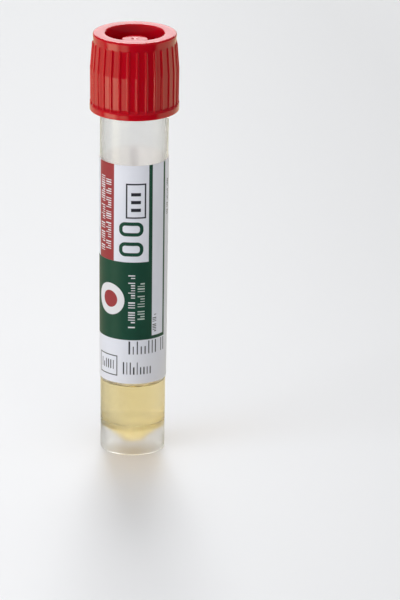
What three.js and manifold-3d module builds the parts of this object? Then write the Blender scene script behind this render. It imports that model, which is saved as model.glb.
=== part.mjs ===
// A specimen transport tube: a moulded, self-standing tube with a cone-shaped inner floor, wrapped
// in a paper label, holding a little liquid medium, and closed by a ribbed screw cap.
// Millimetres, +Z up. The origin is the centre of the foot, on the surface that the tube stands on.
// The tube's axis is Z, and the front of the label faces -Y.

import * as THREE from "three";
import { mergeVertices, toCreasedNormals } from "three/addons/utils/BufferGeometryUtils.js";
import Module from "manifold-3d";

// Tube
const TUBE_HEIGHT = 99.1; // foot to rim
const FOOT_RADIUS = 7.5; // outside, at the foot
const NECK_RADIUS = 8; // outside, under the cap
const NECK_LENGTH = 17; // straight length below the rim; below it the body tapers to the foot
const TUBE_WALL = 0.8;
const RIM_ROUND = 0.25; // rounded edges of the rim and the foot

// Floor of the tube, seen from inside: a cone with a blunt tip, above an open skirt
const CONE_MEETS_BORE = 7.05; // height at which the cone would cut the bore
const CONE_SLOPE = THREE.MathUtils.degToRad(44); // above the horizontal
const CONE_ROUND = 1.6; // how far the rounding between bore and cone reaches each way
const TIP_CLEARANCE = 2; // from the surface the foot stands on to the tip's underside
const TIP_ROUND = 1; // how far the rounding of the tip reaches each way

// Screw thread, one start, right-handed
const THREAD_LEAD = 3; // rise of one turn
const THREAD_HEIGHT = 0.7; // ridge above the wall that carries it
const THREAD_ROOT_WIDTH = 1.4;
const THREAD_CREST_WIDTH = 0.6;
const THREAD_TURNS = 1.75;
const THREAD_RUNOUT = 0.12; // part of a turn over which a ridge fades in and out
const THREAD_BELOW_RIM = 1.6; // rim to the upper end of the tube's ridge
const THREAD_DROP = 0.75; // turns by which the cap's ridge ends below the tube's
const THREAD_RADIAL_GAP = 0.2; // crest of one ridge to the wall of the other piece
const THREAD_FLANK_GAP = 0.15; // between the loaded flanks when the cap is closed

// Cap
const CAP_HEIGHT = 18.4;
const CROWN_THICKNESS = 1.2;
const GRIP_WALL = 1.15; // thread's wall to the floor of the flutes, over the grip's straight part
const WAIST_WALL = 0.7; // the same at the top of the grip
const GRIP_TAPER = 6.4; // length over which the grip widens from its waist
const LIP_HEIGHT = 2; // plain ring round the top
const LIP_FLARE = 0.18; // how far its edge stands out from the waist
const BAND_HEIGHT = 1.8; // plain band round the mouth
const BAND_STEP = 0.35; // how far it stands out from the flutes
const RIB_COUNT = 30;
const RIB_WIDTH = 0.58;
const RIB_HEIGHT = 0.3;
const RIB_ROUND = 0.14;
const FIRST_RIB_ANGLE = THREE.MathUtils.degToRad(-86); // 4 degrees to the right of the front
const MOUTH_CHAMFER = 0.4;
const CAP_EDGE_ROUND = 0.3;

// Plug, recess and boss in the middle of the cap
const PLUG_DEPTH = 5.8; // below the tube's rim
const PLUG_WALL = 0.7; // at the rim
const PLUG_GAP = 0.06; // to the bore, all round
const PLUG_FLOOR = 1.2;
const PLUG_LEAD_IN = 0.5; // chamfer that guides the plug into the bore
const RECESS_FLARE = 0.46; // how much wider the recess is at the top than at the rim
const RECESS_DRAFT = 0.25; // how much narrower the recess is at its floor than at the rim
const RECESS_FLOOR_ROUND = 0.6;
const BOSS_RADIUS = 3.1;
const BOSS_BELOW_TOP = 1.5;
const BOSS_ROUND = 0.4;
const DIMPLE_RADIUS = 0.9; // moulding gate
const DIMPLE_DEPTH = 0.3;
const SOCKET_MOUTH_RADIUS = 2.2; // takes the end of a swab's stick
const SOCKET_END_RADIUS = 1.2;
const SOCKET_ROOF = 1;

// Sealing washer under the crown
const SEAL_THICKNESS = 0.8;
const SEAL_GAP = 0.05; // to the rim, the crown and the plug
const SEAL_EDGE_GAP = 0.3; // to the cap's wall

// Label, one wrap of paper with its ends overlapping at the back
const LABEL_BOTTOM = 17.9;
const LABEL_HEIGHT = 53.5;
const LABEL_THICKNESS = 0.15;
const LABEL_GAP = 0.05; // to the tube, and between its overlapping ends
const LABEL_START = THREE.MathUtils.degToRad(84);
const LABEL_OVERLAP = THREE.MathUtils.degToRad(14);
const LABEL_STEP_UP = THREE.MathUtils.degToRad(6); // turn over which the upper end climbs

// Medium
const MEDIUM_LEVEL = 16.7;
const MENISCUS_RISE = 0.5;
const MENISCUS_WIDTH = 1.2;
const MEDIUM_GAP = 0.05; // to the tube's inner wall

// Faceting
const TUBE_SEGMENTS = 64;
const CAP_SEGMENTS = 60; // two to a rib
const MEDIUM_SEGMENTS = 40;
const THREAD_STEPS_PER_TURN = 36;
const ROUND_POINTS = 2; // points along a rounded corner
const LABEL_STEP = THREE.MathUtils.degToRad(5);
const CREASE_ANGLE = THREE.MathUtils.degToRad(25);
const MERGE_DISTANCE = 1e-4;
const SINK = 0.1; // how deep a ridge or a rib is rooted in the wall that carries it

const wasm = await Module();
wasm.setup();

// ---- Sizes that several pieces share

const neckBottom = TUBE_HEIGHT - NECK_LENGTH;
const neckBore = NECK_RADIUS - TUBE_WALL;
const skirtBore = FOOT_RADIUS - TUBE_WALL;
const crownUnderside = SEAL_THICKNESS + 2 * SEAL_GAP; // above the rim
const capTop = crownUnderside + CROWN_THICKNESS;
const capBottom = capTop - CAP_HEIGHT;
const plugRadius = neckBore - PLUG_GAP;
const skirtInside = NECK_RADIUS + THREAD_HEIGHT + THREAD_RADIAL_GAP;
const gripRadius = skirtInside + GRIP_WALL;
const waistRadius = skirtInside + WAIST_WALL;

function tubeRadiusAt(z) {
  const share = Math.min(z / neckBottom, 1);
  return THREE.MathUtils.lerp(FOOT_RADIUS, NECK_RADIUS, share);
}

// Height of the floor's cone at a radius, moved out through the wall by a distance square to it.
function coneHeightAt(radius, moved) {
  const bore = tubeRadiusAt(CONE_MEETS_BORE) - TUBE_WALL;
  const drop = (bore - radius) * Math.tan(CONE_SLOPE);
  return CONE_MEETS_BORE - drop - moved / Math.cos(CONE_SLOPE);
}

// Radius of the same cone at a height.
function coneRadiusAt(z, moved) {
  return (z - coneHeightAt(0, moved)) / Math.tan(CONE_SLOPE);
}

// ---- Geometry helpers

// Turns corners [radius, height, round] into a profile. round is how far from the corner its
// rounding starts, and never more than half of the shorter side.
function roundedProfile(corners) {
  const points = corners.map(([r, z]) => new THREE.Vector2(r, z));
  const path = new THREE.Path().moveTo(points[0].x, points[0].y);
  for (let i = 1; i < points.length; i += 1) {
    const corner = points[i];
    const wanted = corners[i][2] ?? 0;
    if (!wanted) {
      path.lineTo(corner.x, corner.y);
      continue;
    }
    const back = points[i - 1].clone().sub(corner);
    const on = points[i + 1].clone().sub(corner);
    const reach = Math.min(wanted, back.length() / 2, on.length() / 2);
    const start = back.setLength(reach).add(corner);
    const end = on.setLength(reach).add(corner);
    path.lineTo(start.x, start.y);
    path.quadraticCurveTo(corner.x, corner.y, end.x, end.y);
  }
  return path.getPoints(ROUND_POINTS);
}

// Revolves a profile about Z. It runs with the material on its left.
function revolve(corners, segments) {
  return new THREE.LatheGeometry(roundedProfile(corners), segments).rotateX(Math.PI / 2);
}

function solidOf(geometry) {
  const bare = geometry.clone();
  bare.deleteAttribute("normal");
  bare.deleteAttribute("uv");
  const merged = mergeVertices(bare, MERGE_DISTANCE);
  const mesh = new wasm.Mesh({
    numProp: 3,
    vertProperties: merged.getAttribute("position").array,
    triVerts: new Uint32Array(merged.index.array),
  });
  return new wasm.Manifold(mesh);
}

function geometryOf(solid) {
  const mesh = solid.getMesh();
  const geometry = new THREE.BufferGeometry();
  geometry.setAttribute("position", new THREE.BufferAttribute(mesh.vertProperties, 3));
  geometry.setIndex(new THREE.BufferAttribute(mesh.triVerts, 1));
  return geometry;
}

function piece(name, geometry, material) {
  const mesh = new THREE.Mesh(toCreasedNormals(geometry, CREASE_ANGLE), material);
  mesh.name = name;
  return mesh;
}

// A helix about Z. Its frames point square to the axis, towards or away from it, and along it.
// The first kind shrinks to almost nothing at both ends, so that a section swept along the helix
// fades into the wall.
class ThreadPath extends THREE.Curve {
  constructor(radius, bottom, facing) {
    super();
    this.radius = radius;
    this.bottom = bottom;
    this.facing = facing;
  }

  getPoint(t, target = new THREE.Vector3()) {
    // The height and the angle run together from the same zero, so that any two such paths of one
    // lead are the same screw, moved along the axis.
    const height = this.bottom + t * THREAD_TURNS * THREAD_LEAD;
    const angle = (height / THREAD_LEAD) * 2 * Math.PI;
    return target.set(this.radius * Math.cos(angle), this.radius * Math.sin(angle), height);
  }

  getPointAt(u, target) {
    return this.getPoint(u, target);
  }

  computeFrenetFrames(steps) {
    const frames = { tangents: [], normals: [], binormals: [] };
    for (let i = 0; i <= steps; i += 1) {
      const turnsFromEnd = (Math.min(i, steps - i) / steps) * THREAD_TURNS;
      const full = THREE.MathUtils.clamp(turnsFromEnd / THREAD_RUNOUT, 0.05, 1);
      const point = this.getPoint(i / steps);
      const radial = new THREE.Vector3(point.x, point.y, 0).setLength(this.facing);
      frames.tangents.push(new THREE.Vector3(-radial.y, radial.x, 0));
      frames.normals.push(radial.clone().multiplyScalar(full));
      frames.binormals.push(new THREE.Vector3(0, 0, -this.facing));
    }
    return frames;
  }
}

// One ridge of the thread on a wall: facing 1 stands out from it, facing -1 stands in.
function threadRidge(wallRadius, bottom, facing) {
  const root = THREAD_ROOT_WIDTH / 2;
  const crest = THREAD_CREST_WIDTH / 2;
  const section = new THREE.Shape()
    .moveTo(0, -root)
    .lineTo(SINK, -root)
    .lineTo(SINK + THREAD_HEIGHT, -crest)
    .lineTo(SINK + THREAD_HEIGHT, crest)
    .lineTo(SINK, root)
    .lineTo(0, root);
  const path = new ThreadPath(wallRadius - facing * SINK, bottom, facing);
  const steps = Math.round(THREAD_TURNS * THREAD_STEPS_PER_TURN);
  return solidOf(new THREE.ExtrudeGeometry(section, { steps, extrudePath: path }));
}

// ---- Pieces

function tubeGeometry() {
  const coneBore = tubeRadiusAt(CONE_MEETS_BORE) - TUBE_WALL;
  const tipFloor = TIP_CLEARANCE + TUBE_WALL;
  const body = solidOf(
    revolve(
      [
        [0, TIP_CLEARANCE],
        [coneRadiusAt(TIP_CLEARANCE, TUBE_WALL), TIP_CLEARANCE, TIP_ROUND],
        [skirtBore, coneHeightAt(skirtBore, TUBE_WALL)],
        [skirtBore, 0, RIM_ROUND],
        [FOOT_RADIUS, 0, RIM_ROUND],
        [NECK_RADIUS, neckBottom],
        [NECK_RADIUS, TUBE_HEIGHT, RIM_ROUND],
        [neckBore, TUBE_HEIGHT, RIM_ROUND],
        [neckBore, neckBottom],
        [coneBore, CONE_MEETS_BORE, CONE_ROUND],
        [coneRadiusAt(tipFloor, 0), tipFloor, TIP_ROUND],
        [0, tipFloor],
      ],
      TUBE_SEGMENTS,
    ),
  );
  const bottom = TUBE_HEIGHT - THREAD_BELOW_RIM - THREAD_TURNS * THREAD_LEAD;
  return geometryOf(body.add(threadRidge(NECK_RADIUS, bottom, 1)));
}

// The cap's own heights start at the tube's rim.
function capBody() {
  const recessAtRim = plugRadius - PLUG_WALL;
  const recessFloor = PLUG_FLOOR - PLUG_DEPTH;
  const bossTop = capTop - BOSS_BELOW_TOP;
  const waist = capTop - LIP_HEIGHT;
  return solidOf(
    revolve(
      [
        [0, bossTop - DIMPLE_DEPTH - SOCKET_ROOF],
        [SOCKET_END_RADIUS, bossTop - DIMPLE_DEPTH - SOCKET_ROOF],
        [SOCKET_MOUTH_RADIUS, -PLUG_DEPTH],
        [plugRadius - PLUG_LEAD_IN, -PLUG_DEPTH],
        [plugRadius, -PLUG_DEPTH + PLUG_LEAD_IN],
        [plugRadius, crownUnderside],
        [skirtInside, crownUnderside],
        [skirtInside, capBottom + MOUTH_CHAMFER],
        [skirtInside + MOUTH_CHAMFER, capBottom],
        [gripRadius + BAND_STEP, capBottom, CAP_EDGE_ROUND],
        [gripRadius + BAND_STEP, capBottom + BAND_HEIGHT, CAP_EDGE_ROUND],
        [gripRadius, capBottom + BAND_HEIGHT],
        [gripRadius, waist - GRIP_TAPER],
        [waistRadius, waist],
        [waistRadius + LIP_FLARE, capTop, CAP_EDGE_ROUND],
        [recessAtRim + RECESS_FLARE, capTop, CAP_EDGE_ROUND],
        [recessAtRim, 0],
        [recessAtRim - RECESS_DRAFT, recessFloor, RECESS_FLOOR_ROUND],
        [BOSS_RADIUS, recessFloor],
        [BOSS_RADIUS, bossTop, BOSS_ROUND],
        [DIMPLE_RADIUS, bossTop],
        [0, bossTop - DIMPLE_DEPTH],
      ],
      CAP_SEGMENTS,
    ),
  );
}

// A rib is its outline on the cap's section, given a thickness round the cap.
function gripRib(angle) {
  const bottom = capBottom + BAND_HEIGHT / 2;
  const widest = capTop - LIP_HEIGHT - GRIP_TAPER;
  const top = capTop - LIP_HEIGHT;
  const outline = new THREE.Shape()
    .moveTo(gripRadius - SINK - RIB_ROUND, bottom)
    .lineTo(gripRadius + RIB_HEIGHT - RIB_ROUND, bottom)
    .lineTo(gripRadius + RIB_HEIGHT - RIB_ROUND, widest)
    .lineTo(waistRadius + RIB_HEIGHT - RIB_ROUND, top - RIB_HEIGHT)
    .lineTo(waistRadius - RIB_ROUND, top)
    .lineTo(waistRadius - SINK - RIB_ROUND, top);
  const rib = new THREE.ExtrudeGeometry(outline, {
    depth: RIB_WIDTH - 2 * RIB_ROUND,
    bevelThickness: RIB_ROUND,
    bevelSize: RIB_ROUND,
    bevelSegments: 1,
  });
  rib.rotateX(Math.PI / 2);
  rib.translate(0, RIB_WIDTH / 2 - RIB_ROUND, 0);
  return solidOf(rib.rotateZ(angle));
}

function capGeometry() {
  let cap = capBody();
  for (let i = 0; i < RIB_COUNT; i += 1) {
    cap = cap.add(gripRib(FIRST_RIB_ANGLE + (i / RIB_COUNT) * 2 * Math.PI));
  }
  // The cap's ridge lies under the tube's, flank against flank.
  const flankSlope = (THREAD_ROOT_WIDTH - THREAD_CREST_WIDTH) / 2 / THREAD_HEIGHT;
  const below = THREAD_ROOT_WIDTH - flankSlope * (skirtInside - NECK_RADIUS) + THREAD_FLANK_GAP;
  const turnsBelowRim = THREAD_TURNS + THREAD_DROP;
  const bottom = -THREAD_BELOW_RIM - turnsBelowRim * THREAD_LEAD - below;
  // Turned so that it is the same screw as the tube's, which counts its heights from the foot.
  const turn = ((TUBE_HEIGHT + below) / THREAD_LEAD) * 2 * Math.PI;
  const ridge = threadRidge(skirtInside, bottom, -1).rotate([0, 0, THREE.MathUtils.radToDeg(turn)]);
  return geometryOf(cap.add(ridge));
}

function sealGeometry() {
  const bottom = SEAL_GAP;
  const top = SEAL_GAP + SEAL_THICKNESS;
  const inner = plugRadius + SEAL_GAP;
  const outer = skirtInside - SEAL_EDGE_GAP;
  return revolve(
    [
      [inner, bottom],
      [outer, bottom],
      [outer, top],
      [inner, top],
      [inner, bottom],
    ],
    TUBE_SEGMENTS,
  );
}

// Radius of the label's inner face on a tube of no taper, as it goes once round and climbs over
// its own beginning.
function labelInnerRadius(turned) {
  const climbStart = 2 * Math.PI - LABEL_STEP_UP;
  const climbed = THREE.MathUtils.clamp((turned - climbStart) / LABEL_STEP_UP, 0, 1);
  return LABEL_GAP + climbed * (LABEL_THICKNESS + LABEL_GAP);
}

function labelGeometry() {
  const steps = Math.ceil((2 * Math.PI + LABEL_OVERLAP) / LABEL_STEP);
  const inner = [];
  const outer = [];
  for (let i = 0; i <= steps; i += 1) {
    const turned = (i / steps) * (2 * Math.PI + LABEL_OVERLAP);
    const angle = LABEL_START + turned;
    const direction = new THREE.Vector2(Math.cos(angle), Math.sin(angle));
    const radius = FOOT_RADIUS + labelInnerRadius(turned);
    inner.push(direction.clone().multiplyScalar(radius));
    outer.push(direction.clone().multiplyScalar(radius + LABEL_THICKNESS));
  }
  const outline = new THREE.Shape([...outer, ...inner.reverse()]);
  const wrap = new THREE.ExtrudeGeometry(outline, { depth: LABEL_HEIGHT, bevelEnabled: false });
  wrap.translate(0, 0, LABEL_BOTTOM);
  return followTaper(wrap);
}

// Moves a wrap that was made for the foot's radius out to the tube's radius at each height.
function followTaper(geometry) {
  const position = geometry.getAttribute("position");
  const point = new THREE.Vector3();
  for (let i = 0; i < position.count; i += 1) {
    point.fromBufferAttribute(position, i);
    const radius = Math.hypot(point.x, point.y);
    const grown = 1 + (tubeRadiusAt(point.z) - FOOT_RADIUS) / radius;
    position.setXY(i, point.x * grown, point.y * grown);
  }
  return geometry;
}

function mediumGeometry() {
  const radiusAt = (z) => tubeRadiusAt(z) - TUBE_WALL - MEDIUM_GAP;
  const edge = MEDIUM_LEVEL + MENISCUS_RISE;
  const tipFloor = TIP_CLEARANCE + TUBE_WALL + MEDIUM_GAP;
  return revolve(
    [
      [0, tipFloor],
      [coneRadiusAt(tipFloor, -MEDIUM_GAP), tipFloor, TIP_ROUND],
      [radiusAt(CONE_MEETS_BORE), coneHeightAt(radiusAt(CONE_MEETS_BORE), -MEDIUM_GAP), CONE_ROUND],
      [radiusAt(edge), edge],
      [radiusAt(edge) - MENISCUS_WIDTH / 3, MEDIUM_LEVEL, MENISCUS_RISE],
      [radiusAt(edge) - MENISCUS_WIDTH, MEDIUM_LEVEL],
      [0, MEDIUM_LEVEL],
    ],
    MEDIUM_SEGMENTS,
  );
}

// ---- Assembly

const clearPlastic = new THREE.MeshStandardMaterial({
  color: 0xe4e3de,
  roughness: 0.25,
  metalness: 0,
  transparent: true,
  opacity: 0.35,
});
const redPlastic = new THREE.MeshStandardMaterial({ color: 0xb81a22, roughness: 0.35, metalness: 0 });
const paper = new THREE.MeshStandardMaterial({ color: 0xdfe0e6, roughness: 0.5, metalness: 0 });
const liquid = new THREE.MeshStandardMaterial({
  color: 0xe3cf93,
  roughness: 0.05,
  metalness: 0,
  transparent: true,
  opacity: 0.6,
});
const softRubber = new THREE.MeshStandardMaterial({ color: 0xd8d6d0, roughness: 0.7, metalness: 0 });

const closure = new THREE.Group();
closure.name = "closure";
closure.position.z = TUBE_HEIGHT;
closure.add(piece("seal", sealGeometry(), softRubber));
closure.add(piece("cap", capGeometry(), redPlastic));

const specimenTube = new THREE.Group();
specimenTube.name = "specimen_tube";
specimenTube.add(piece("tube", tubeGeometry(), clearPlastic));
specimenTube.add(piece("medium", mediumGeometry(), liquid));
specimenTube.add(piece("label", labelGeometry(), paper));
specimenTube.add(closure);

export default specimenTube;
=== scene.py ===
"""A specimen transport tube on a pale floor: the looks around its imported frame.

Metres, +Z up, in the frame of the CAD part. The tube's axis is Z and the front of its label
faces -Y.
"""

import math

import bpy
from mathutils import Matrix, Vector


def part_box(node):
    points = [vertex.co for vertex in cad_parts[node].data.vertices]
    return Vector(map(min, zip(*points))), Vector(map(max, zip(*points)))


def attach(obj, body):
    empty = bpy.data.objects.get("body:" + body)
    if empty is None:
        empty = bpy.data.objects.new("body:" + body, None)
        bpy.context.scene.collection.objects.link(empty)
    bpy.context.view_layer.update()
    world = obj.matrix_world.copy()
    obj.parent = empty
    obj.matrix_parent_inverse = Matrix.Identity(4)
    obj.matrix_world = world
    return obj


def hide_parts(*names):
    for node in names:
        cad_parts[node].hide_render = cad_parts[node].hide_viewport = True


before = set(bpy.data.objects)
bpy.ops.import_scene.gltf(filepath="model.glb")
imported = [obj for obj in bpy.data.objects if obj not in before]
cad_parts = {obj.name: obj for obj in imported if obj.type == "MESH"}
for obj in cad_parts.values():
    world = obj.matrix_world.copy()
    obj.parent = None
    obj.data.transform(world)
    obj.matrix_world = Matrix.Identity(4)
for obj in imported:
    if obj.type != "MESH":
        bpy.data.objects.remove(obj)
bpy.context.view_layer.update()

MM = 1e-3
CENTIMETRE = 10 * MM
TURN = 2 * math.pi
TINY = 1e-9  # lengths closer than this are the same

# ---- Places, from the frame

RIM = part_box("tube")[1][2]
CAP_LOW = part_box("cap")[0][2]
CAP_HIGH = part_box("cap")[1][2]
SEAL_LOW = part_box("seal")[0][2]
SEAL_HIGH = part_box("seal")[1][2]
LABEL_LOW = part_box("label")[0][2]
LABEL_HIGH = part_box("label")[1][2]
MEDIUM_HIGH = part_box("medium")[1][2]

# ---- Sizes

# the tube
FOOT_RADIUS = 7.5 * MM
NECK_RADIUS = 8.0 * MM
NECK_LOW = RIM - 17 * MM  # the body tapers below it
WALL = 0.8 * MM
RIM_ROUND = 0.25 * MM
SKIRT_FILLET = 0.4 * MM  # between the skirt and the underside of the cone
CONE_MEETS_BORE = 7.05 * MM
CONE_SLOPE = math.radians(44)
CONE_ROUND = 1.6 * MM
TIP_CLEARANCE = 2.0 * MM
TIP_ROUND = 1.0 * MM
TUBE_SIDES = 256

# the threads
THREAD_LEAD = 3 * MM
THREAD_HEIGHT = 0.7 * MM
THREAD_ROOT = 1.4 * MM
THREAD_CREST = 0.6 * MM
THREAD_TURNS = 1.75
THREAD_RUNOUT = 0.12  # turns
THREAD_BELOW_RIM = 1.6 * MM
THREAD_STEP = 0.14 * MM  # most height of a row of faces on the tube's thread
CAP_THREAD_STEP = 0.2 * MM  # and on the cap's
CAP_THREAD_DROP = 0.75  # turns
CAP_THREAD_BELOW = 1.05 * MM  # the cap's ridge to the tube's, along the axis

# the cap's outside
SKIRT_INSIDE = 8.9 * MM
GRIP_RADIUS = 10.08 * MM  # floor of the flutes, at its widest
GRIP_DRAFT = 0.08 * MM  # how much narrower it is just above the band
GRIP_ROUND = 0.15 * MM
GRIP_STEP = 1.2 * MM  # most height of a row of faces on the grip
WAIST_RADIUS = 9.6 * MM
WAIST_ROUND = 0.4 * MM
GRIP_TAPER = 6.4 * MM  # height over which the grip narrows to the waist
TAPER_STEP = 0.25 * MM  # most height of a row of faces there
LIP_HEIGHT = 2 * MM
LIP_FLARE = 0.18 * MM
LIP_ROUND = 0.55 * MM
BAND_HEIGHT = 1.8 * MM
BAND_RADIUS = 10.4 * MM
BAND_SLOPE = 0.5 * MM  # height over which the band falls to the flutes
BAND_ROUND = 0.4 * MM
CAP_EDGE = 0.3 * MM
RIB_COUNT = 30
RIB_HALF_WIDTH = 0.30 * MM
RIB_CREST = 0.10 * MM
RIB_HEIGHT = 0.28 * MM
RIB_END = 0.5 * MM
RIB_BELOW_WAIST = 0.1 * MM
RIB_OVER_BAND = 0.1 * MM  # how far a rib runs down past the middle of the band's slope
RIB_UP_SLOPE = 0.2 * MM  # how far out over the flutes it still shows on that slope
RIB_STEPS = 5  # from a rib's middle to its side
FIRST_RIB = math.radians(-85.7)

# the cap's inside
MOUTH_CHAMFER = 0.4 * MM
MOUTH_ROUND = 0.1 * MM
CROWN_UNDERSIDE = 0.9 * MM  # above the rim
CROWN_ROUND = 0.15 * MM
PLUG_RADIUS = 7.14 * MM
PLUG_WALL = 0.7 * MM
PLUG_DEPTH = 5.8 * MM
PLUG_FLOOR = 1.2 * MM
PLUG_LEAD_IN = 0.5 * MM
PLUG_ROUND = 0.2 * MM
SOCKET_MOUTH = 2.2 * MM
SOCKET_END = 1.2 * MM
SOCKET_ROOF = 1.0 * MM
SOCKET_ROUND = 0.3 * MM

# the recess in the cap's top
RECESS_FLARE = 0.46 * MM
RECESS_BEND = 0.3 * MM  # rounding where the flare ends
RECESS_DRAFT = 0.25 * MM
RECESS_ROUND = 0.6 * MM
BOSS_RADIUS = 3.1 * MM
BOSS_BELOW_TOP = 1.5 * MM
BOSS_ROUND = 0.4 * MM
BOSS_FILLET = 0.3 * MM
DIMPLE_RADIUS = 0.9 * MM
DIMPLE_DEPTH = 0.3 * MM
DIMPLE_ROUND = 0.2 * MM

# the washer
SEAL_INSIDE_GAP = 0.05 * MM
SEAL_OUTSIDE_GAP = 0.3 * MM
SEAL_INSIDE_ROUND = 0.12 * MM
SEAL_OUTSIDE_ROUND = 0.2 * MM
SEAL_SIDES = 128

# the label
LABEL_THICKNESS = 0.15 * MM
LABEL_GAP = 0.05 * MM
LABEL_START = math.radians(84)
LABEL_OVERLAP = math.radians(14)
LABEL_STEP_UP = math.radians(6)
LABEL_COLUMNS = 360
LABEL_ROWS = 24
LABEL_SHARP = math.radians(40)  # edges over this angle are drawn sharp

# the medium
MEDIUM_LEVEL = 16.7 * MM
MENISCUS_STAND = 0.36 * MM  # from the wall to the foot of the part that climbs it
MENISCUS_ROUND = 0.72 * MM
MENISCUS_REACH = 1.92 * MM  # from the wall to well inside the level part
MEDIUM_SIDES = 192
MEDIUM_SHARP = math.radians(50)
WETTING = 0.02 * MM  # how far the medium reaches into the tube's wall, so that no film of air shows


def clamped(share):
    return min(max(share, 0), 1)


def tube_radius(z):
    """Outside of the tube's body at a height."""
    return FOOT_RADIUS + (NECK_RADIUS - FOOT_RADIUS) * clamped(z / NECK_LOW)


def cone_height(radius, moved):
    """Height of the floor's cone at a radius, moved out through the wall by a distance."""
    bore = tube_radius(CONE_MEETS_BORE) - WALL
    return CONE_MEETS_BORE - (bore - radius) * math.tan(CONE_SLOPE) - moved / math.cos(CONE_SLOPE)


def cone_radius(z, moved):
    """Radius of the same cone at a height."""
    return (z - cone_height(0, moved)) / math.tan(CONE_SLOPE)


# ---- Mesh building


def rounded(corners, points=6):
    """A profile from corners (radius, height, how far from the corner its rounding starts)."""
    profile = []
    for i, (r, z, *extra) in enumerate(corners):
        corner = Vector((r, z))
        reach = extra[0] if extra else 0
        if not reach:
            profile.append(corner)
            continue
        back = Vector(corners[i - 1][:2]) - corner
        on = Vector(corners[i + 1][:2]) - corner
        reach = min(reach, back.length / 2, on.length / 2)
        start = corner + back.normalized() * reach
        end = corner + on.normalized() * reach
        for k in range(points + 1):
            t = k / points
            profile.append(start * (1 - t) ** 2 + corner * 2 * t * (1 - t) + end * t * t)
    return profile


def points_between(start, end, most):
    """Points that divide a line of a profile into steps no higher than most, without its ends."""
    steps = math.ceil(abs(end.y - start.y) / most)
    return [start.lerp(end, k / steps) for k in range(1, steps)]


def both_at(a, b, radius):
    """Whether a line of a profile runs straight up or down at a radius."""
    return abs(a.x - radius) < TINY and abs(b.x - radius) < TINY


def even_angles(count):
    return [TURN * k / count for k in range(count)]


def new_object(name, verts, faces):
    mesh = bpy.data.meshes.new(name)
    mesh.from_pydata(verts, [], faces)
    mesh.validate()
    for polygon in mesh.polygons:
        polygon.use_smooth = True
    piece = bpy.data.objects.new(name, mesh)
    bpy.context.scene.collection.objects.link(piece)
    return piece


def revolve(name, profile, angles, relief=None):
    """Turns a profile about Z, with the material on its left. relief(z, angle, row) moves a
    point of it out. A profile runs from axis to axis, or ends where it starts."""
    closed = (profile[0] - profile[-1]).length < TINY
    rows = profile[:-1] if closed else profile
    verts = []
    start = []
    for row, point in enumerate(rows):
        start.append(len(verts))
        if point.x < TINY:
            verts.append((0, 0, point.y))
            continue
        for angle in angles:
            r = point.x + (relief(point.y, angle, row) if relief else 0)
            verts.append((r * math.cos(angle), r * math.sin(angle), point.y))
    faces = []
    for row in range(len(rows) if closed else len(rows) - 1):
        below, above = row, (row + 1) % len(rows)
        for k in range(len(angles)):
            n = (k + 1) % len(angles)
            a, b = start[below] + k, start[below] + n
            c, d = start[above] + n, start[above] + k
            if rows[below].x < TINY:
                faces.append((start[below], c, d))
            elif rows[above].x < TINY:
                faces.append((a, b, start[above]))
            else:
                faces.append((a, b, c, d))
    return new_object(name, verts, faces)


def thread_relief(z, angle, low):
    """Height of a thread ridge over its wall. low is the height of its lower end."""
    turns = angle / TURN
    centre = THREAD_LEAD * (turns + round(z / THREAD_LEAD - turns))
    from_end = min(centre - low, low + THREAD_TURNS * THREAD_LEAD - centre) / THREAD_LEAD
    across = (THREAD_ROOT / 2 - abs(z - centre)) / (THREAD_ROOT / 2 - THREAD_CREST / 2)
    return THREAD_HEIGHT * clamped(from_end / THREAD_RUNOUT) * clamped(across)


# ---- Pieces


def make_tube():
    tip_floor = TIP_CLEARANCE + WALL
    cone_bore = tube_radius(CONE_MEETS_BORE) - WALL
    skirt_bore = FOOT_RADIUS - WALL
    neck_bore = NECK_RADIUS - WALL
    profile = rounded(
        [
            (0, TIP_CLEARANCE),
            (cone_radius(TIP_CLEARANCE, WALL), TIP_CLEARANCE, TIP_ROUND),
            (skirt_bore, cone_height(skirt_bore, WALL), SKIRT_FILLET),
            (skirt_bore, 0, RIM_ROUND),
            (FOOT_RADIUS, 0, RIM_ROUND),
            (NECK_RADIUS, NECK_LOW),
            (NECK_RADIUS, RIM, RIM_ROUND),
            (neck_bore, RIM, RIM_ROUND),
            (neck_bore, NECK_LOW),
            (cone_bore, CONE_MEETS_BORE, CONE_ROUND),
            (cone_radius(tip_floor, 0), tip_floor, TIP_ROUND),
            (0, tip_floor),
        ]
    )
    thread_top = RIM - THREAD_BELOW_RIM
    thread_low = thread_top - THREAD_TURNS * THREAD_LEAD
    low = Vector((NECK_RADIUS, thread_low - THREAD_ROOT))
    high = Vector((NECK_RADIUS, thread_top + THREAD_ROOT))
    rows = []
    for a, b in zip(profile, profile[1:]):
        rows.append(a)
        if both_at(a, b, NECK_RADIUS) and a.y < low.y:
            rows += [low, *points_between(low, high, THREAD_STEP), high]
    rows.append(profile[-1])

    def relief(z, angle, row):
        on_outside = abs(rows[row].x - NECK_RADIUS) < TINY
        return thread_relief(z, angle, thread_low) if on_outside and low.y <= z <= high.y else 0

    return revolve("clear_tube", rows, even_angles(TUBE_SIDES), relief)


def rib_relief(z, angle, top):
    """Height of the grip's ribs over the floor of the flutes. top is where they run out."""
    pitch = TURN / RIB_COUNT
    off = (angle - FIRST_RIB + pitch / 2) % pitch - pitch / 2
    across = clamped((RIB_HALF_WIDTH - abs(off) * GRIP_RADIUS) / (RIB_HALF_WIDTH - RIB_CREST))
    along = clamped((top - z) / RIB_END)
    smooth = across * across * (3 - 2 * across)
    return RIB_HEIGHT * smooth * math.sqrt(1 - (1 - along) ** 2)


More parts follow.
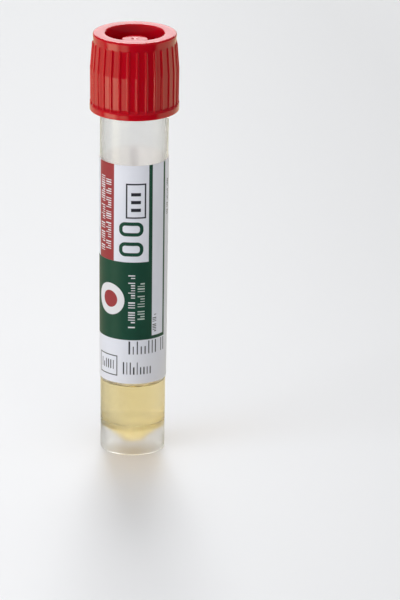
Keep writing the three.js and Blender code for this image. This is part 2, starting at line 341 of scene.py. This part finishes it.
def cap_angles():
    """Angles that follow the ribs: close together across a rib, wide apart in a flute."""
    pitch = TURN / RIB_COUNT
    rib = RIB_HALF_WIDTH / GRIP_RADIUS
    side = [rib * k / RIB_STEPS for k in range(1, RIB_STEPS + 1)]
    side.append((rib + pitch / 2) / 2)
    offsets = [-a for a in reversed(side)] + [0] + side + [pitch / 2]
    return [FIRST_RIB + pitch * k + offset for k in range(RIB_COUNT) for offset in offsets]


def make_cap():
    waist = CAP_HIGH - LIP_HEIGHT
    widest = waist - GRIP_TAPER
    recess_at_rim = PLUG_RADIUS - PLUG_WALL
    plug_low = RIM - PLUG_DEPTH
    recess_floor = plug_low + PLUG_FLOOR
    boss_top = CAP_HIGH - BOSS_BELOW_TOP
    socket_top = boss_top - DIMPLE_DEPTH - SOCKET_ROOF
    crown = RIM + CROWN_UNDERSIDE
    band_high = CAP_LOW + BAND_HEIGHT
    profile = rounded(
        [
            (0, socket_top),
            (SOCKET_END, socket_top, SOCKET_ROUND),
            (SOCKET_MOUTH, plug_low, SOCKET_ROUND),
            (PLUG_RADIUS - PLUG_LEAD_IN, plug_low, PLUG_ROUND),
            (PLUG_RADIUS, plug_low + PLUG_LEAD_IN, PLUG_ROUND),
            (PLUG_RADIUS, crown, CROWN_ROUND),
            (SKIRT_INSIDE, crown, CROWN_ROUND),
            (SKIRT_INSIDE, CAP_LOW + MOUTH_CHAMFER, MOUTH_ROUND),
            (SKIRT_INSIDE + MOUTH_CHAMFER, CAP_LOW, MOUTH_ROUND),
            (BAND_RADIUS, CAP_LOW, CAP_EDGE),
            (BAND_RADIUS, band_high - BAND_SLOPE / 2, BAND_ROUND),
            (GRIP_RADIUS - GRIP_DRAFT, band_high + BAND_SLOPE / 2, BAND_ROUND),
            (GRIP_RADIUS, widest, GRIP_ROUND),
            (WAIST_RADIUS, waist, WAIST_ROUND),
            (WAIST_RADIUS + LIP_FLARE, CAP_HIGH, LIP_ROUND),
            (recess_at_rim + RECESS_FLARE, CAP_HIGH, CAP_EDGE),
            (recess_at_rim, RIM, RECESS_BEND),
            (recess_at_rim - RECESS_DRAFT, recess_floor, RECESS_ROUND),
            (BOSS_RADIUS, recess_floor, BOSS_FILLET),
            (BOSS_RADIUS, boss_top, BOSS_ROUND),
            (DIMPLE_RADIUS, boss_top, DIMPLE_ROUND),
            (0, boss_top - DIMPLE_DEPTH),
        ],
        points=5,
    )
    thread_low = RIM - THREAD_BELOW_RIM - (THREAD_TURNS + CAP_THREAD_DROP) * THREAD_LEAD
    threaded = []
    rows = []
    for a, b in zip(profile, profile[1:]):
        rows.append(a)
        if both_at(a, b, SKIRT_INSIDE):
            added = points_between(a, b, CAP_THREAD_STEP)
            threaded += range(len(rows), len(rows) + len(added))
            rows += added
        on_grip = WAIST_RADIUS < a.x <= GRIP_RADIUS
        if on_grip and band_high < a.y < b.y and a.y < waist:
            rows += points_between(a, b, GRIP_STEP if b.y < widest else TAPER_STEP)
    rows.append(profile[-1])

    def relief(z, angle, row):
        radius = rows[row].x
        if row in threaded:
            return -thread_relief(z + CAP_THREAD_BELOW, angle, thread_low)
        on_grip = WAIST_RADIUS < radius <= GRIP_RADIUS + RIB_UP_SLOPE
        if on_grip and band_high - RIB_OVER_BAND < z < waist:
            return min(rib_relief(z, angle, waist - RIB_BELOW_WAIST), BAND_RADIUS - radius)
        return 0

    return revolve("ribbed_cap", rows, cap_angles(), relief)


def make_seal():
    inside = PLUG_RADIUS + SEAL_INSIDE_GAP
    outside = SKIRT_INSIDE - SEAL_OUTSIDE_GAP
    middle = (SEAL_LOW + SEAL_HIGH) / 2
    corners = [
        (inside, middle),
        (inside, SEAL_LOW, SEAL_INSIDE_ROUND),
        (outside, SEAL_LOW, SEAL_OUTSIDE_ROUND),
        (outside, SEAL_HIGH, SEAL_OUTSIDE_ROUND),
        (inside, SEAL_HIGH, SEAL_INSIDE_ROUND),
        (inside, middle),
    ]
    return revolve("sealing_washer", rounded(corners, points=3), even_angles(SEAL_SIDES))


def label_offset(turned):
    """How far the label's inner face is from the tube, as it climbs over its own beginning."""
    climbed = clamped((turned - TURN + LABEL_STEP_UP) / LABEL_STEP_UP)
    return LABEL_GAP + climbed * (LABEL_THICKNESS + LABEL_GAP)


def make_label():
    """A strip of paper wrapped once round the tube. Its inner and edge faces take slot 1."""
    columns, rows = LABEL_COLUMNS, LABEL_ROWS
    verts = []
    for side in (0, 1):
        for i in range(columns + 1):
            turned = (TURN + LABEL_OVERLAP) * i / columns
            angle = LABEL_START + turned
            for k in range(rows + 1):
                z = LABEL_LOW + (LABEL_HIGH - LABEL_LOW) * k / rows
                r = tube_radius(z) + label_offset(turned) + side * LABEL_THICKNESS
                verts.append((r * math.cos(angle), r * math.sin(angle), z))

    def at(side, i, k):
        return (side * (columns + 1) + i) * (rows + 1) + k

    def face(*corners):
        return tuple(at(*corner) for corner in corners)

    fronts = []
    backs = []
    for i in range(columns):
        n = i + 1
        for k in range(rows):
            fronts.append(face((1, i, k), (1, n, k), (1, n, k + 1), (1, i, k + 1)))
            backs.append(face((0, i, k), (0, i, k + 1), (0, n, k + 1), (0, n, k)))
        backs.append(face((0, i, 0), (0, n, 0), (1, n, 0), (1, i, 0)))
        backs.append(face((0, i, rows), (1, i, rows), (1, n, rows), (0, n, rows)))
    for k in range(rows):
        backs.append(face((0, 0, k), (1, 0, k), (1, 0, k + 1), (0, 0, k + 1)))
        backs.append(face((0, columns, k), (0, columns, k + 1), (1, columns, k + 1), (1, columns, k)))
    label = new_object("printed_label", verts, fronts + backs)
    for polygon in label.data.polygons[len(fronts):]:
        polygon.material_index = 1
    label.data.set_sharp_from_angle(angle=LABEL_SHARP)
    return label


def make_medium():
    def radius(z):
        return tube_radius(z) - WALL + WETTING

    tip_floor = TIP_CLEARANCE + WALL - WETTING
    cone_bore = radius(CONE_MEETS_BORE)
    edge = radius(MEDIUM_HIGH)
    profile = rounded(
        [
            (0, tip_floor),
            (cone_radius(tip_floor, WETTING), tip_floor, TIP_ROUND),
            (cone_bore, cone_height(cone_bore, WETTING), CONE_ROUND),
            (edge, MEDIUM_HIGH),
            (edge - MENISCUS_STAND, MEDIUM_LEVEL, MENISCUS_ROUND),
            (edge - MENISCUS_REACH, MEDIUM_LEVEL),
            (0, MEDIUM_LEVEL),
        ],
        points=8,
    )
    medium = revolve("liquid_medium", profile, even_angles(MEDIUM_SIDES))
    medium.data.set_sharp_from_angle(angle=MEDIUM_SHARP)
    return medium


# ---- Nodes


class Nodes:
    """A tree of shader nodes, with short calls for the ones used here."""

    def __init__(self, tree):
        self.tree = tree

    def node(self, kind, inputs=None, **settings):
        node = self.tree.nodes.new(kind)
        for key, value in settings.items():
            setattr(node, key, value)
        for key, value in (inputs or {}).items():
            self.give(node.inputs[key], value)
        return node

    def give(self, socket, value):
        if isinstance(value, bpy.types.NodeSocket):
            self.tree.links.new(value, socket)
        else:
            socket.default_value = value

    def math(self, operation, *values, clamp=False):
        node = self.node("ShaderNodeMath", operation=operation, use_clamp=clamp)
        for socket, value in zip(node.inputs, values):
            self.give(socket, value)
        return node.outputs[0]

    def mix(self, factor, a, b, kind="RGBA"):
        node = self.node("ShaderNodeMix", {"Factor": factor, "A": a, "B": b}, data_type=kind)
        return node.outputs["Result"]

    def length(self, x, y):
        return self.math("SQRT", self.math("MULTIPLY_ADD", x, x, self.math("MULTIPLY", y, y)))

    def light_path(self):
        return self.node("ShaderNodeLightPath").outputs


class Shading(Nodes):
    """A new material's nodes."""

    def __init__(self, name):
        self.material = bpy.data.materials.new(name)
        self.material.use_nodes = True
        super().__init__(self.material.node_tree)
        self.tree.nodes.clear()
        self.output = self.node("ShaderNodeOutputMaterial")

    def place(self):
        return self.node("ShaderNodeTexCoord").outputs["Object"]

    def xyz(self):
        return self.node("ShaderNodeSeparateXYZ", {0: self.place()}).outputs

    def from_front(self, x, y):
        """The angle about the tube from the front of the label, towards +X."""
        return self.math("ARCTAN2", x, self.math("MULTIPLY", y, -1.0))

    def noise(self, scale, detail, roughness):
        inputs = {"Scale": scale, "Detail": detail, "Roughness": roughness, "Vector": self.place()}
        return self.node("ShaderNodeTexNoise", inputs).outputs[0]

    def bump(self, height, strength, distance):
        inputs = {"Strength": strength, "Distance": distance, "Height": height}
        return self.node("ShaderNodeBump", inputs).outputs[0]

    def remap(self, value, low, high):
        inputs = {"Value": value, "To Min": low, "To Max": high}
        return self.node("ShaderNodeMapRange", inputs).outputs[0]

    def principled(self, inputs):
        return self.node("ShaderNodeBsdfPrincipled", inputs).outputs[0]

    def blend(self, share, shader, other):
        return self.node("ShaderNodeMixShader", {0: share, 1: shader, 2: other}).outputs[0]

    def backlit(self, shader, tint, share):
        """A share of the light from behind comes through, as in paper."""
        through = self.node("ShaderNodeBsdfTranslucent", {"Color": tint})
        return self.blend(share, shader, through.outputs[0])

    def lets_light_through(self, shader, tint, diffuse=True):
        """Shadow rays, and diffuse ones, cross the surface, tinted. Others meet the shader."""
        path = self.light_path()
        crossing = path["Is Shadow Ray"]
        if diffuse:
            crossing = self.math("MAXIMUM", crossing, path["Is Diffuse Ray"])
        through = self.node("ShaderNodeBsdfTransparent", {"Color": tint})
        return self.blend(crossing, shader, through.outputs[0])

    def darkens_with_depth(self, taken):
        """Takes a share of each colour off over a centimetre inside."""
        tint = (*(1 + math.log(1 - share) for share in taken), 1)
        inputs = {"Color": tint, "Density": 1 / CENTIMETRE}
        depth = self.node("ShaderNodeVolumeAbsorption", inputs)
        self.give(self.output.inputs["Volume"], depth.outputs[0])

    def finish(self, shader):
        self.give(self.output.inputs["Surface"], shader)
        return self.material


def colour(red, green, blue):
    """Linear colour from sRGB values of 0 to 255."""

    def linear(value):
        share = value / 255
        return share / 12.92 if share <= 0.04045 else ((share + 0.055) / 1.055) ** 2.4

    return (linear(red), linear(green), linear(blue), 1)


# ---- Plain materials

FLOOR_FROST = 0.35  # how much rougher the tube's floor is than the rest of its foot
FOOT_FROST = 0.07  # how much rougher the foot is than the walls above it
FLOOR_INSET = 0.03 * MM  # what lies further than this inside the skirt is the tube's floor


def clear_plastic():
    """Natural polypropylene: clear, with a little haze and faint flow marks."""
    s = Shading("clear_plastic")
    flow = s.noise(scale=90, detail=2, roughness=0.4)
    x, y, z = s.xyz()
    in_foot = s.math("LESS_THAN", z, CONE_MEETS_BORE)
    inside = s.math("LESS_THAN", s.length(x, y), FOOT_RADIUS - WALL - FLOOR_INSET)
    on_floor = s.math("MULTIPLY", inside, in_foot)
    frost = s.math("MULTIPLY_ADD", on_floor, FLOOR_FROST, s.math("MULTIPLY", in_foot, FOOT_FROST))
    shader = s.principled(
        {
            "Base Color": (0.985, 0.985, 0.975, 1),
            "Roughness": s.math("ADD", s.remap(flow, 0.18, 0.26), frost),
            "IOR": 1.49,
            "Transmission Weight": 0.97,
            "Subsurface Weight": 1.0,
            "Subsurface Radius": (1.0, 1.0, 1.0),
            "Subsurface Scale": 1.5 * MM,
            "Normal": s.bump(flow, strength=0.12, distance=0.1 * MM),
        }
    )
    s.darkens_with_depth(taken=(0.26, 0.26, 0.27))
    return s.finish(s.lets_light_through(shader, tint=(0.88, 0.88, 0.87, 1)))


def liquid():
    s = Shading("pale_liquid")
    tone = s.noise(scale=60, detail=1, roughness=0.4)
    shader = s.principled(
        {
            "Base Color": s.mix(tone, (0.99, 0.985, 0.96, 1), (0.985, 0.98, 0.95, 1)),
            "Roughness": 0.02,
            "IOR": 1.34,
            "Transmission Weight": 1.0,
        }
    )
    s.darkens_with_depth(taken=(0.005, 0.13, 0.48))
    return s.finish(s.lets_light_through(shader, tint=(0.97, 0.79, 0.2, 1)))


def red_plastic():
    s = Shading("red_plastic")
    grain = s.noise(scale=1500, detail=3, roughness=0.5)
    cloud = s.noise(scale=120, detail=2, roughness=0.5)
    shader = s.principled(
        {
            "Base Color": s.mix(cloud, (0.46, 0.002, 0.010, 1), (0.51, 0.002, 0.012, 1)),
            "Roughness": s.remap(cloud, 0.07, 0.11),
            "IOR": 1.49,
            "Subsurface Weight": 0.5,
            "Subsurface Radius": (1.0, 0.06, 0.05),
            "Subsurface Scale": 2.5 * MM,
            "Normal": s.bump(grain, strength=0.05, distance=0.01 * MM),
        }
    )
    return s.finish(shader)


def soft_rubber():
    s = Shading("soft_rubber")
    grain = s.noise(scale=900, detail=3, roughness=0.6)
    shader = s.principled(
        {
            "Base Color": s.mix(grain, colour(214, 211, 204), colour(226, 224, 218)),
            "Roughness": s.remap(grain, 0.55, 0.7),
            "Normal": s.bump(grain, strength=0.2, distance=0.03 * MM),
        }
    )
    return s.finish(shader)


def label_back():
    """The glued side of the paper, and its cut edges."""
    s = Shading("label_back")
    fibre = s.noise(scale=700, detail=5, roughness=0.6)
    shader = s.principled(
        {
            "Base Color": s.mix(fibre, colour(214, 211, 207), colour(226, 223, 219)),
            "Roughness": s.remap(fibre, 0.55, 0.7),
            "Normal": s.bump(fibre, strength=0.1, distance=0.02 * MM),
        }
    )
    paper = s.backlit(shader, colour(244, 240, 235), share=0.75)
    return s.finish(s.lets_light_through(paper, tint=(0.5, 0.5, 0.5, 1), diffuse=False))


# ---- The print

PAPER = colour(236, 239, 249)
INK_GREEN = colour(19, 75, 57)
INK_RED = colour(164, 58, 63)
INK_DARK = colour(44, 46, 54)
INK_WHITE = colour(236, 236, 240)
INK_PALE = colour(190, 206, 198)

# Places in the print are in millimetres on the label: across from the middle of the front to
# the right, and up from the foot. A box is (left, right, low, high).
PRINT_EDGE = 0.05  # over which ink fades into paper
FIBRE_SHOWS = 0.012  # share of the paper's fibre in its colour
PAST_TOP = LABEL_HIGH / MM + 1  # so that a field runs off the label's edge
GREEN_LOW = 28.7
GREEN_HIGH = 47.85
GREEN_RIGHT = 4.7

# A line of text too small to read is a row of cells with a stroke in each.
STROKE_MIDDLE = 0.45  # where a stroke stands in its cell
STROKE_THINNEST = 0.15  # half of its width, as a share of the cell
STROKE_SPREAD = 0.14  # how much more it is at its thickest
BLANK_CELLS = 0.12  # share of the cells
SHORT_STROKES = 0.4  # share of the strokes
SHORT_HEIGHT = 0.6  # share of the line's height


def panel_group():
    """A node group: how deep a place is inside a panel with rounded corners, in millimetres."""
    tree = bpy.data.node_groups.new("print_panel", "ShaderNodeTree")
    for name in ("Across", "Up", "Middle Across", "Middle Up", "Half Width", "Half Height", "Corner"):
        tree.interface.new_socket(name, in_out="INPUT", socket_type="NodeSocketFloat")
    tree.interface.new_socket("Depth", in_out="OUTPUT", socket_type="NodeSocketFloat")
    n = Nodes(tree)
    given = n.node("NodeGroupInput").outputs

    def past(place, middle, half):
        """How far a place is past the straight part of a side."""
        off = n.math("ABSOLUTE", n.math("SUBTRACT", given[place], given[middle]))
        return n.math("SUBTRACT", off, n.math("SUBTRACT", given[half], given["Corner"]))

    across = past("Across", "Middle Across", "Half Width")
    up = past("Up", "Middle Up", "Half Height")
    outside = n.length(n.math("MAXIMUM", across, 0.0), n.math("MAXIMUM", up, 0.0))
    inside = n.math("MINIMUM", n.math("MAXIMUM", across, up), 0.0)
    depth = n.math("SUBTRACT", given["Corner"], n.math("ADD", outside, inside))
    n.node("NodeGroupOutput", {"Depth": depth})
    return tree


class Print(Shading):
    """A label's printing: fields of ink laid over paper one after another."""

    def __init__(self, name, paper):
        super().__init__(name)
        self.colour = paper
        self.group = panel_group()
        x, y, z = self.xyz()
        around = self.math("MULTIPLY", self.from_front(x, y), self.length(x, y))
        self.across = self.math("MULTIPLY", around, 1 / MM)
        self.up = self.math("MULTIPLY", z, 1 / MM)

    def soft_step(self, depth):
        return self.math("ADD", self.math("DIVIDE", depth, PRINT_EDGE), 0.5, clamp=True)

    def depth(self, box, corner):
        left, right, low, high = box
        node = self.node("ShaderNodeGroup", node_tree=self.group)
        middle = ((left + right) / 2, (low + high) / 2)
        half = ((right - left) / 2, (high - low) / 2)
        for socket, value in zip(node.inputs, (self.across, self.up, *middle, *half, corner)):
            self.give(socket, value)
        return node.outputs[0]

    def field(self, box, corner=0.0):
        return self.soft_step(self.depth(box, corner))

    def disc(self, across, up, radius):
        return self.field((across - radius, across + radius, up - radius, up + radius), radius)

    def frame(self, box, line, corner=0.0):
        """The outline of a field, with a line inside its edges."""
        depth = self.depth(box, corner)
        inner = self.soft_step(self.math("SUBTRACT", depth, line))
        return self.math("SUBTRACT", self.soft_step(depth), inner, clamp=True)

    def words(self, box, pitch, seed, weight=1.0, reads_up=False):
        """Strokes of random width and height with gaps, in place of a line of text."""
        left, right, low, high = box
        run, start, end = (self.up, low, high) if reads_up else (self.across, left, right)
        side, foot, head = (self.across, right, left) if reads_up else (self.up, low, high)
        pitch = (end - start) / round((end - start) / pitch)
        place = self.math("DIVIDE", self.math("SUBTRACT", run, start), pitch)

        # three random numbers for each cell
        cell = self.math("ADD", self.math("FLOOR", place), seed + 0.5)
        random = self.node("ShaderNodeTexWhiteNoise", {"W": cell}, noise_dimensions="1D")
        split = self.node("ShaderNodeSeparateColor", {0: random.outputs["Color"]})
        for_width, for_gaps, for_height = split.outputs

        half = self.math("MULTIPLY_ADD", for_width, STROKE_SPREAD * weight, STROKE_THINNEST * weight)
        off = self.math("ABSOLUTE", self.math("SUBTRACT", self.math("FRACT", place), STROKE_MIDDLE))
        stroke = self.soft_step(self.math("MULTIPLY", self.math("SUBTRACT", half, off), pitch))
        kept = self.math("GREATER_THAN", for_gaps, BLANK_CELLS)
        tall = self.math("GREATER_THAN", for_height, SHORT_STROKES)
        top = self.math("MULTIPLY_ADD", tall, 1 - SHORT_HEIGHT, SHORT_HEIGHT)
        height = self.math("DIVIDE", self.math("SUBTRACT", side, foot), head - foot)
        shown = self.math("MULTIPLY", kept, self.math("LESS_THAN", height, top))
        return self.math("MULTIPLY", self.math("MULTIPLY", self.field(box), stroke), shown)

    def lay(self, ink, mask):
        self.colour = self.mix(mask, self.colour, ink)


def print_panels(p):
    """The green panel, and the rules round the panel for writing on."""
    panel = (-12.4, GREEN_RIGHT, GREEN_LOW, GREEN_HIGH)
    left_rule = (3.75, GREEN_RIGHT, 47, PAST_TOP)
    foot_rule = (4.6, 8.9, GREEN_LOW, 29.5)
    right_rule = (8.3, 9.0, GREEN_LOW, PAST_TOP)
    for box in (panel, left_rule, foot_rule, right_rule):
        p.lay(INK_GREEN, p.field(box))


def print_heading(p):
    """A red panel with two lines that read upwards."""
    panel = (-10.1, -4.8, GREEN_HIGH, PAST_TOP)
    first = (-9.4, -7.7, 49.6, 68.7)
    second = (-7.3, -5.6, 50.4, 68.2)
    p.lay(INK_RED, p.field(panel))
    p.lay(INK_WHITE, p.words(first, pitch=0.55, seed=3, reads_up=True))
    p.lay(INK_WHITE, p.words(second, pitch=0.55, seed=111, reads_up=True))


def print_marks(p):
    """A framed panel of plain bars, and under it two plain rings."""
    panel = (-1.78, 3.02, 58.55, 67.05)
    p.lay(INK_DARK, p.frame(panel, line=0.36))
    for low in (60.2, 62.1, 64.0):
        bar = (-0.55, 1.75, low, low + 0.8)
        p.lay(INK_DARK, p.field(bar))
    for low in (54.2, 49.3):
        ring = (-3.4, 2.4, low, low + 3.45)
        p.lay(INK_GREEN, p.frame(ring, line=0.85, corner=1.5))


def print_badge(p):
    """A dot on a disc, and beside it two lines that read upwards."""
    middle = (-5.85, 38.35)
    first = (-1.1, 0.5, 31.6, 44.9)
    second = (1.1, 2.8, 33.6, 42.9)
    p.lay(INK_WHITE, p.disc(*middle, radius=3.85))
    p.lay(INK_RED, p.disc(*middle, radius=2.05))
    p.lay(INK_WHITE, p.words(first, pitch=0.6, seed=5, reads_up=True))
    p.lay(INK_PALE, p.words(second, pitch=0.6, seed=223, reads_up=True))


def print_form(p):
    """Two small lines by the panel for writing on."""
    inside = (4.9, 6.0, 30.3, 34.8)
    beside = (10.0, 10.9, 58.0, 66.8)
    p.lay(INK_DARK, p.words(inside, pitch=0.42, seed=7, reads_up=True))
    p.lay(INK_DARK, p.words(beside, pitch=0.42, seed=9, reads_up=True))


def print_bottom_strip(p):
    """Two lines in larger type, and a framed panel with a short one."""
    upper = (-1.2, 10.1, 25.2, 28.4)
    lower = (-2.5, 4.8, 20.2, 23.2)
    panel = (-9.65, -3.7, 19.6, 24.6)
    framed = (-8.9, -4.4, 21.1, 23.3)
    p.lay(INK_DARK, p.words(upper, pitch=0.95, seed=53, weight=0.75))
    p.lay(INK_DARK, p.frame(panel, line=0.24))
    p.lay(INK_DARK, p.words(framed, pitch=0.7, seed=29, weight=0.75))
    p.lay(INK_DARK, p.words(lower, pitch=0.85, seed=67, weight=0.75))


def printed_paper():
    p = Print("printed_paper", PAPER)
    print_panels(p)
    print_heading(p)
    print_marks(p)
    print_badge(p)
    print_form(p)
    print_bottom_strip(p)
    fibre = p.noise(scale=500, detail=5, roughness=0.6)
    grey = p.mix(fibre, (0.5, 0.5, 0.5, 1), (1, 1, 1, 1))
    shader = p.principled(
        {
            "Base Color": p.mix(FIBRE_SHOWS, p.colour, grey),
            "Roughness": p.remap(fibre, 0.34, 0.44),
            "Specular IOR Level": 0.3,
            "Coat Weight": 0.05,
            "Coat Roughness": 0.2,
            "Normal": p.bump(fibre, strength=0.06, distance=0.02 * MM),
        }
    )
    paper = p.backlit(shader, p.colour, share=0.3)
    return p.finish(p.lets_light_through(paper, tint=(0.9, 0.9, 0.9, 1), diffuse=False))


# ---- The object


def dress(piece, node, body, slot, *materials):
    for material in materials:
        piece.data.materials.append(material)
    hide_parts(node)
    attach(piece, body)


dress(make_tube(), "tube", "tube_body", "tube", clear_plastic())
dress(make_medium(), "medium", "tube_body", "medium", liquid())
dress(make_label(), "label", "tube_body", "label", printed_paper(), label_back())
dress(make_seal(), "seal", "seal", "seal", soft_rubber())
dress(make_cap(), "cap", "cap", "cap", red_plastic())


# ---- The floor

FLOOR_REACH = 3.0  # from the tube to a side
DARKER_FROM_Y = -0.02  # painted shade: the floor's colour darkens from here on towards the back
DARKER_FROM_X = -0.01  # and to the right
DARKER_EACH_METRE_Y = 1.6
DARKER_EACH_METRE_X = 5.8

# Painted reflection: to glossy rays the floor glows as a dark room with lit parts, which gloss on the
# object shows as painted highlights.
PAINTED_REFLECTION_TINT = (1, 0.92, 0.62, 1)
PAINTED_REFLECTION_LEAST = 0.01
# from, to (degrees from the front towards +X), then the painted glow's level far off, in the ring,
# and at the foot
PAINTED_REFLECTION_SECTORS = [
    (-200, -84, 0.8, 0.8, 0.4),
    (-86, -40, 1.2, 3.4, 0.7),
    (-46, -12, 0.01, 1.4, 0.3),
    (58, 200, 1.0, 1.0, 0.6),
]
SECTOR_BLUR = math.radians(12)
RING_FROM = 0.19
RING_TO = 0.42
RING_BLUR = 0.02
FOOT_TO = 0.04
FOOT_BLUR = 0.015


def painted_reflection_level(s, x, y):
    """How brightly each part of the floor glows in the painted reflection."""

    def fades_in(value, start, blur):
        return s.math("DIVIDE", s.math("SUBTRACT", value, start), blur, clamp=True)

    def fades_out(value, end, blur):
        return s.math("DIVIDE", s.math("SUBTRACT", end, value), blur, clamp=True)

    def between(value, start, end, blur):
        return s.math("MULTIPLY", fades_in(value, start, blur), fades_out(value, end, blur))

    far = s.length(x, y)
    turned = s.from_front(x, y)
    ring = between(far, RING_FROM, RING_TO, RING_BLUR)
    foot = fades_out(far, FOOT_TO, FOOT_BLUR)
    level = PAINTED_REFLECTION_LEAST
    for start, end, distant, in_ring, at_foot in PAINTED_REFLECTION_SECTORS:
        sector = between(turned, math.radians(start), math.radians(end), SECTOR_BLUR)
        lit = s.math("MULTIPLY_ADD", ring, in_ring - distant, distant)
        lit = s.math("MULTIPLY_ADD", foot, at_foot - distant, lit)
        level = s.math("MULTIPLY_ADD", sector, lit, level)
    return level


def pale_floor():
    s = Shading("pale_floor")
    tone = s.noise(scale=6, detail=3, roughness=0.5)
    x, y, _ = s.xyz()

    # painted shade: the floor's colour turns to the far colour towards the back and to the right
    def painted_shade(place, start, each_metre):
        return s.math("MULTIPLY", s.math("SUBTRACT", place, start, clamp=True), each_metre)

    behind = painted_shade(y, DARKER_FROM_Y, DARKER_EACH_METRE_Y)
    right = painted_shade(x, DARKER_FROM_X, DARKER_EACH_METRE_X)
    near_colour = s.mix(tone, (0.77, 0.775, 0.785, 1), (0.79, 0.795, 0.805, 1))
    far_colour = (0.60, 0.605, 0.612, 1)
    shader = s.principled(
        {
            "Base Color": s.mix(s.math("ADD", behind, right, clamp=True), near_colour, far_colour),
            "Roughness": s.remap(tone, 0.6, 0.66),
            "Specular IOR Level": 0.2,
        }
    )
    # painted reflection: the floor glows, to glossy rays that have not passed through the plastic, in
    # lit sectors that no lamp makes
    inputs = {"Color": PAINTED_REFLECTION_TINT, "Strength": painted_reflection_level(s, x, y)}
    painted_reflection = s.node("ShaderNodeEmission", inputs).outputs[0]
    path = s.light_path()
    not_through_plastic = s.math("LESS_THAN", path["Transmission Depth"], 0.5)
    in_gloss = s.math("MULTIPLY", path["Is Glossy Ray"], not_through_plastic)
    return s.finish(s.blend(in_gloss, shader, painted_reflection))


def make_floor():
    corners = [(-1, -1), (1, -1), (1, 1), (-1, 1)]
    verts = [(FLOOR_REACH * x, FLOOR_REACH * y, 0) for x, y in corners]
    floor = new_object("floor", verts, [(0, 1, 2, 3)])
    floor.data.materials.append(pale_floor())


# ---- Lamps, world and camera

LIT_PLACE = Vector((0, 0, 0.05))  # that every lamp faces

WORLD_TINT = (0.98, 0.985, 1, 1)
WORLD_AS_LAMP = 0.34
WORLD_IN_GLOSS = 0.16
WORLD_SEEN = 0.85  # by the camera, and through the plastic

SENSOR = 36  # millimetres, along the picture's height
LENS = 360  # millimetres
PICTURE_HEIGHT = 600
CAMERA_PLACE = Vector((0.015747, -1.332095, 0.484331))
CAMERA_PITCH = math.radians(18.6)  # down
CAMERA_ROLL = math.radians(0.553)
NEAREST_SEEN = 0.01
FARTHEST_SEEN = 20

THROUGH_EVERY_WALL = 32  # bounces
BETWEEN_GLOSSES = 12


def soft_lamp(name, place, width, height, power, in_gloss=True, through_plastic=True):
    """A rectangular lamp. in_gloss and through_plastic say where it can be seen."""
    data = bpy.data.lights.new(name, "AREA")
    data.shape = "RECTANGLE"
    data.size = width
    data.size_y = height
    data.energy = power
    lamp = bpy.data.objects.new(name, data)
    lamp.location = place
    lamp.rotation_euler = (LIT_PLACE - Vector(place)).to_track_quat("-Z", "Y").to_euler()
    lamp.visible_glossy = in_gloss
    lamp.visible_transmission = through_plastic
    bpy.context.scene.collection.objects.link(lamp)


def light_the_scene():
    unseen = {"in_gloss": False, "through_plastic": False}
    soft_lamp("back_light", (-0.05, 1.2, 0.95), width=0.34, height=0.5, power=4.2)
    soft_lamp("tall_window", (-0.02, 3.0, 2.5), width=1.1, height=4.5, power=88, **unseen)
    soft_lamp("top_box", (0, -0.35, 1.15), width=0.8, height=0.8, power=3.6, **unseen)
    soft_lamp("back_window", (0.0, 1.5, 0.55), width=1.6, height=0.5, power=5.0)
    soft_lamp("left_box", (-1.0, -0.55, 0.35), width=0.8, height=0.7, power=7, in_gloss=False)


def make_world():
    """Pale to the camera and through the plastic, softer as a lamp, dim in glossy rays."""
    world = bpy.data.worlds.new("studio")
    world.use_nodes = True
    n = Nodes(world.node_tree)
    path = n.light_path()
    strength = n.mix(path["Is Glossy Ray"], WORLD_AS_LAMP, WORLD_IN_GLOSS, kind="FLOAT")
    strength = n.mix(path["Is Transmission Ray"], strength, WORLD_SEEN, kind="FLOAT")
    strength = n.mix(path["Is Camera Ray"], strength, WORLD_SEEN, kind="FLOAT")
    background = world.node_tree.nodes["Background"].inputs
    n.give(background["Strength"], strength)
    n.give(background["Color"], WORLD_TINT)
    bpy.context.scene.world = world


def make_camera():
    data = bpy.data.cameras.new("camera")
    data.sensor_width = SENSOR
    data.lens = LENS
    data.clip_start = NEAREST_SEEN
    data.clip_end = FARTHEST_SEEN
    half_pixel = 0.5 / PICTURE_HEIGHT
    data.shift_x = -half_pixel
    data.shift_y = half_pixel
    camera = bpy.data.objects.new("camera", data)
    tilt = Matrix.Rotation(math.radians(90) - CAMERA_PITCH, 4, "X")
    roll = Matrix.Rotation(CAMERA_ROLL, 4, "Z")
    camera.matrix_world = Matrix.Translation(CAMERA_PLACE) @ tilt @ roll
    bpy.context.scene.collection.objects.link(camera)
    bpy.context.scene.camera = camera


def set_bounces():
    cycles = bpy.context.scene.cycles
    cycles.max_bounces = THROUGH_EVERY_WALL
    cycles.transmission_bounces = THROUGH_EVERY_WALL
    cycles.transparent_max_bounces = THROUGH_EVERY_WALL
    cycles.glossy_bounces = BETWEEN_GLOSSES


make_floor()
light_the_scene()
make_world()
make_camera()
set_bounces()
bpy.context.scene.view_settings.view_transform = "Standard"
